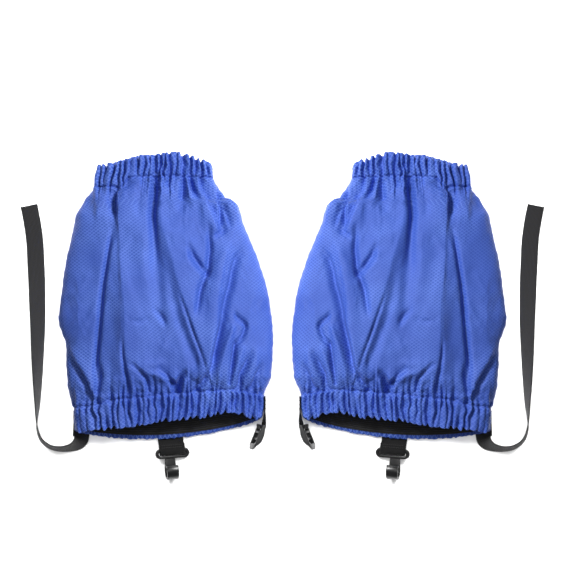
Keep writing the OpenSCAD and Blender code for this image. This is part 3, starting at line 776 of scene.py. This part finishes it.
def tack(name, place, width, rows, pitch):
    """Rows of short stitches across a strap, in the strap's own frame."""
    places = []
    for r in range(rows):
        for x in np.arange(-width / 2 + 1, width / 2 - 0.9, 1.9):
            lean = Vector((1, 0.25 if int(x * 10) % 2 else -0.25, 0))
            places.append((np.array(place @ Vector((x, r * pitch, 0))), np.array(place.to_3x3() @ lean),
                           np.array(place.to_3x3() @ Vector((0, 0, 1)))))
    return copies(name, *model_stitch(1.7, 0.6), places)


black_thread = thread_finish("black thread", (0.012, 0.012, 0.013, 1), (0.03, 0.03, 0.032, 1))
hook_tack = tack("left_hook_tab_tack", hook_place @ Matrix.Translation((0, 2.6, loop_r + webbing_t / 2 + 0.1)),
                 hook_tab_w - 3, 2, 2.4)
both_sides(hook_tack, "hook_tab_stitching", "sleeve", black_thread)
strap_root = (Matrix.Translation(strap_middle[0].tolist()) @ Matrix.Rotation(math.radians(17), 4, "Y")
              @ Matrix.Translation((0, -9, -webbing_t / 2 - 0.15)))
strap_tack = tack("left_foot_strap_tack", strap_root, strap_w - 3, 3, 4)
both_sides(strap_tack, "foot_strap_stitching", "sleeve", black_thread)

# ---- Lace hook ----
# One glossy black moulding: a slotted frame that the tab passes through, and a blade that curls round
# to catch a boot lace, with a beaded end.
hook_swing = hook_place @ Matrix.Rotation(math.radians(5), 4, "X")
frame_r, frame_reach, frame_rim, frame_t = 5, 12.2, 2.5, 3
window_w = 27
blade_x, blade_w, blade_t = -2.6, 12, 2.2
curl_y, curl_z, curl_turn = -20, 7, 220
bead_r, bead_out = 1.4, 7.7


def begin(add, **how):
    """Adds a primitive and leaves it in edit mode with everything selected."""
    bpy.ops.object.select_all(action="DESELECT")
    add(**how)
    bpy.ops.object.mode_set(mode="EDIT")
    return bpy.context.object


def pick(piece, test, kind="faces"):
    """Selects the faces, or the corners, that pass a test of their middle."""
    shape = bmesh.from_edit_mesh(piece.data)
    for element in (*shape.faces, *shape.edges, *shape.verts):
        element.select_set(False)
    if kind == "faces":
        for f in shape.faces:
            if test(f.calc_center_median(), f.normal):
                f.select_set(True)
    else:
        for v in shape.verts:
            if test(v.co):
                v.select_set(True)
        shape.select_flush(True)
    bmesh.update_edit_mesh(piece.data)


def finish_shape(piece, bevel, segments=3):
    """Leaves edit mode, closes the shape and eases its edges."""
    bpy.ops.mesh.select_all(action="SELECT")
    bpy.ops.mesh.remove_doubles(threshold=0.01)
    bpy.ops.mesh.normals_make_consistent(inside=False)
    bpy.ops.object.mode_set(mode="OBJECT")
    bpy.ops.object.transform_apply(location=True, rotation=True, scale=True)
    if bevel:
        ease_edges = piece.modifiers.new("eased edges", "BEVEL")
        ease_edges.width, ease_edges.segments, ease_edges.limit_method = bevel, segments, "ANGLE"
        ease_edges.angle_limit = math.radians(35)
        bpy.ops.object.modifier_apply(modifier=ease_edges.name)
    return piece


def assemble(name, parts, place):
    """Joins mouldings made in millimetres into one piece and puts it in its place."""
    bpy.ops.object.select_all(action="DESELECT")
    for part in parts:
        part.select_set(True)
    bpy.context.view_layer.objects.active = parts[0]
    bpy.ops.object.join()
    piece = bpy.context.object
    piece.name = name
    bpy.ops.object.shade_smooth_by_angle(angle=math.radians(40))
    piece.data.transform(Matrix.Scale(0.001, 4) @ Matrix.Translation((gaiter_x, 0, 0)) @ place)
    return piece


hook_frame = begin(bpy.ops.mesh.primitive_circle_add, vertices=48, radius=frame_r, fill_type="NGON",
                   location=(0, -3.5, 0))
for way in (1, -1):
    pick(hook_frame, lambda co: co.x * way > 0.01, "corners")
    bpy.ops.transform.translate(value=(way * frame_reach, 0, 0))
bpy.ops.mesh.select_all(action="SELECT")
bpy.ops.mesh.inset(thickness=frame_rim)
bpy.ops.transform.resize(value=(window_w / (2 * (frame_r + frame_reach - frame_rim)), 0.9, 1),
                         center_override=(0, -3.75, 0))
bpy.ops.mesh.delete(type="FACE")
bpy.ops.mesh.select_all(action="SELECT")
bpy.ops.mesh.extrude_region_move(TRANSFORM_OT_translate={"value": (0, 0, frame_t)})
bpy.ops.mesh.select_all(action="SELECT")
bpy.ops.transform.translate(value=(0, 0, -frame_t / 2))
finish_shape(hook_frame, 0.9)

blade = begin(bpy.ops.mesh.primitive_cube_add, size=1, location=(blade_x, -14, -0.4), scale=(blade_w, 12, blade_t))
pick(blade, lambda co: co.y > 0, "corners")
bpy.ops.transform.resize(value=(10 / blade_w, 1, 1), center_override=(blade_x, 0, 0))
pick(blade, lambda mid, normal: normal.y < -0.9)
bpy.ops.mesh.spin(steps=26, angle=math.radians(curl_turn), center=(blade_x, curl_y, curl_z), axis=(1, 0, 0))
finish_shape(blade, 0.7)
curl_end = math.radians(-90 - curl_turn)
bead_at = (blade_x, curl_y + bead_out * math.cos(curl_end), curl_z + bead_out * math.sin(curl_end))
bead = begin(bpy.ops.mesh.primitive_cylinder_add, vertices=24, radius=bead_r, depth=blade_w, location=bead_at,
             rotation=(0, math.pi / 2, 0))
finish_shape(bead, 0.5)
hook = assemble("left_lace_hook_moulding", [hook_frame, blade, bead], hook_swing)


def moulding_finish(name, dark, light, roughness):
    finish = Finish(name, Specular_IOR_Level=0.35, Coat_Weight=0.25, Coat_Roughness=0.22)
    place = finish.place()
    cloud, grain = finish.noise(place, 120.0, 3.0), finish.noise(place, 1500.0)
    finish.cover(finish.blend(cloud, dark, light), grain + cloud * 0.4, 0.00008, roughness + cloud * 0.15, 0.5)
    return finish


glossy_black = moulding_finish("glossy black moulding", (0.008, 0.008, 0.0085, 1), (0.017, 0.017, 0.018, 1), 0.27)
both_sides(hook, "lace_hook", "hook", glossy_black)

# ---- Buckle's tab ----
# Black 17 mm webbing. It runs down the outside of the hem's corner at the buckle side, where it is sewn,
# and is folded round the buckle's bar.
buckle_place = Matrix.Translation((91.4, -109.2, 12.5)) @ Matrix.Rotation(math.radians(-77), 4, "Y")
tab_width = np.array(buckle_place.to_3x3() @ Vector((1, 0, 0)))
upright = np.array((0, 0, 1.0))
tab_loop = loop_round(buckle_place, [(0, 2, loop_r)])
tab_before = [np.array(buckle_place @ Vector((0, y, -loop_r))) for y in (3.6, 1.4)]
tab_mid = [(95, -91.6 + y, 9.6) for y in (12, 8, 4, 0, -4)] + [(94.4, -100.6, 10.4)] + tab_before + tab_loop
tab_across = [upright] * 5 + [upright + tab_width] + [tab_width] * (2 + len(tab_loop))
buckle_tab = webbing_along("left_buckle_tab_webbing", tab_mid, tab_across, strap_w, webbing_t)
both_sides(buckle_tab, "buckle_tab", "sleeve", black_webbing)
tab_face = Matrix.Translation((95 + webbing_t / 2 + 0.15, -91.6, 9.6)) @ Matrix.Rotation(math.pi / 2, 4, "Y")
both_sides(tack("left_buckle_tab_tack", tab_face, strap_w - 3, 3, 4), "buckle_tab_stitching", "sleeve",
           black_thread)

# ---- Ladder-lock buckle ----
# One satin black moulding: two rails, an anchor bar for the tab, a plain cross bar, a toothed ladder
# bar that grips the strap, and a lip that is lifted to let the strap slip.
buckle_swing = buckle_place @ Matrix.Rotation(math.radians(-23), 4, "X") @ Matrix.Rotation(math.pi, 4, "Y")
slot_l = 18.6
rail_w, rail_l, rail_y, rail_t = 2.7, 21.5, -9.25, 3
ladder_y, ladder_top = -13.3, 3.9
buckle_parts = []
anchor = begin(bpy.ops.mesh.primitive_cylinder_add, vertices=32, radius=bar_r, depth=slot_l + 2,
               rotation=(0, math.pi / 2, 0))
buckle_parts.append(finish_shape(anchor, 0))
for way in (-1, 1):
    rail = begin(bpy.ops.mesh.primitive_cube_add, size=1, location=(way * (slot_l + rail_w) / 2, rail_y, 0),
                 scale=(rail_w, rail_l, rail_t))
    # The rails are deepest between these two cuts, either side of the slot that the strap leaves by
    for cut in (-7.6, -14.4):
        bpy.ops.mesh.select_all(action="SELECT")
        bpy.ops.mesh.bisect(plane_co=(0, cut, 0), plane_no=(0, 1, 0))
    pick(rail, lambda co: co.z > 0 and abs(co.y) < 8, "corners")
    bpy.ops.transform.translate(value=(0, 0, 2.4))
    buckle_parts.append(finish_shape(rail, 0.6))
for y, z, thick in ((-6.5, 0, rail_t), (ladder_y, ladder_top / 2, ladder_top)):
    bar = begin(bpy.ops.mesh.primitive_cube_add, size=1, location=(0, y, z), scale=(slot_l + 1, 2.2, thick))
    buckle_parts.append(finish_shape(bar, 0.4))
for k in range(8):
    tooth = begin(bpy.ops.mesh.primitive_cube_add, size=1, location=((k - 3.5) * slot_l / 8, ladder_y, ladder_top),
                  scale=(1.1, 2.0, 1))
    pick(tooth, lambda mid, normal: normal.z > 0.9)
    bpy.ops.transform.resize(value=(0.6, 0.8, 1))
    buckle_parts.append(finish_shape(tooth, 0.15, 2))
lip = begin(bpy.ops.mesh.primitive_cube_add, size=1, location=(0, -19.75, -0.3), scale=(24, 1.5, 2.4))
pick(lip, lambda mid, normal: normal.y < -0.9)
bpy.ops.mesh.extrude_region_move(TRANSFORM_OT_translate={"value": (0, -4.5, 0)})
bpy.ops.transform.resize(value=(0.42, 1, 0.7), center_override=(0, 0, -0.6))
buckle_parts.append(finish_shape(lip, 0.5))
for k in range(3):
    rib = begin(bpy.ops.mesh.primitive_cube_add, size=1, location=(0, -20.6 - 1.3 * k, 0.85 - 0.12 * k),
                scale=(16 - 3.4 * k, 0.5, 0.6))
    buckle_parts.append(finish_shape(rib, 0.15, 2))
buckle = assemble("left_ladder_buckle_moulding", buckle_parts, buckle_swing)
satin_black = moulding_finish("satin black moulding", (0.016, 0.016, 0.0165, 1), (0.032, 0.032, 0.033, 1), 0.48)
both_sides(buckle, "ladder_buckle", "buckle", satin_black)

# ---- Floor and light ----
# A plain pale floor, one soft key light for each gaiter from its upper inner side, a soft light overhead
# for everything, and another that falls on the floor alone.
bpy.ops.object.select_all(action="DESELECT")
bpy.ops.mesh.primitive_plane_add(size=8, location=(0, 0, -0.0002))
floor = bpy.context.object
floor.name = "floor"
bpy.ops.object.transform_apply()
pale = Finish("pale floor", Roughness=0.9, Specular_IOR_Level=0.1)
pale.surface.inputs["Base Color"].default_value = (0.9, 0.9, 0.9, 1)
floor.data.materials.append(pale.material)


def soft_light(name, place, target, size, power):
    lamp = bpy.data.objects.new(name, bpy.data.lights.new(name, "AREA"))
    lamp.data.shape, lamp.data.size, lamp.data.energy = "DISK", size, power
    lamp.location = place
    lamp.rotation_euler = (Vector(target) - Vector(place)).to_track_quat("-Z", "Y").to_euler()
    lamp.visible_camera = False
    bpy.context.scene.collection.objects.link(lamp)
    return lamp


for side in (-1, 1):
    key = soft_light("key light", (-side * 0.52, 0.52, 0.9), (side * 0.11, 0, 0), 0.4, 18.5)
    lit = bpy.data.collections.new("lit by this key")
    for piece in bpy.data.objects:
        if piece.name.startswith("left_" if side < 0 else "right_") or piece == floor:
            lit.objects.link(piece)
    key.light_linking.receiver_collection = lit
soft_light("overhead light", (0, 0.2, 2.2), (0, 0, 0), 1.0, 6)
sweep = soft_light("floor light", (0, 0, 2.4), (0, 0, 0), 1.6, 26)
sweep.light_linking.receiver_collection = bpy.data.collections.new("lit by the floor light")
sweep.light_linking.receiver_collection.objects.link(floor)
sweep.light_linking.blocker_collection = bpy.data.collections.new("shadows of the floor light")
world = bpy.data.worlds.new("studio")
world.use_nodes = True
world.node_tree.nodes["Background"].inputs["Color"].default_value = (1, 1, 1, 1)
world.node_tree.nodes["Background"].inputs["Strength"].default_value = 0.12
bpy.context.scene.world = world
bpy.context.scene.view_settings.view_transform = "Standard"
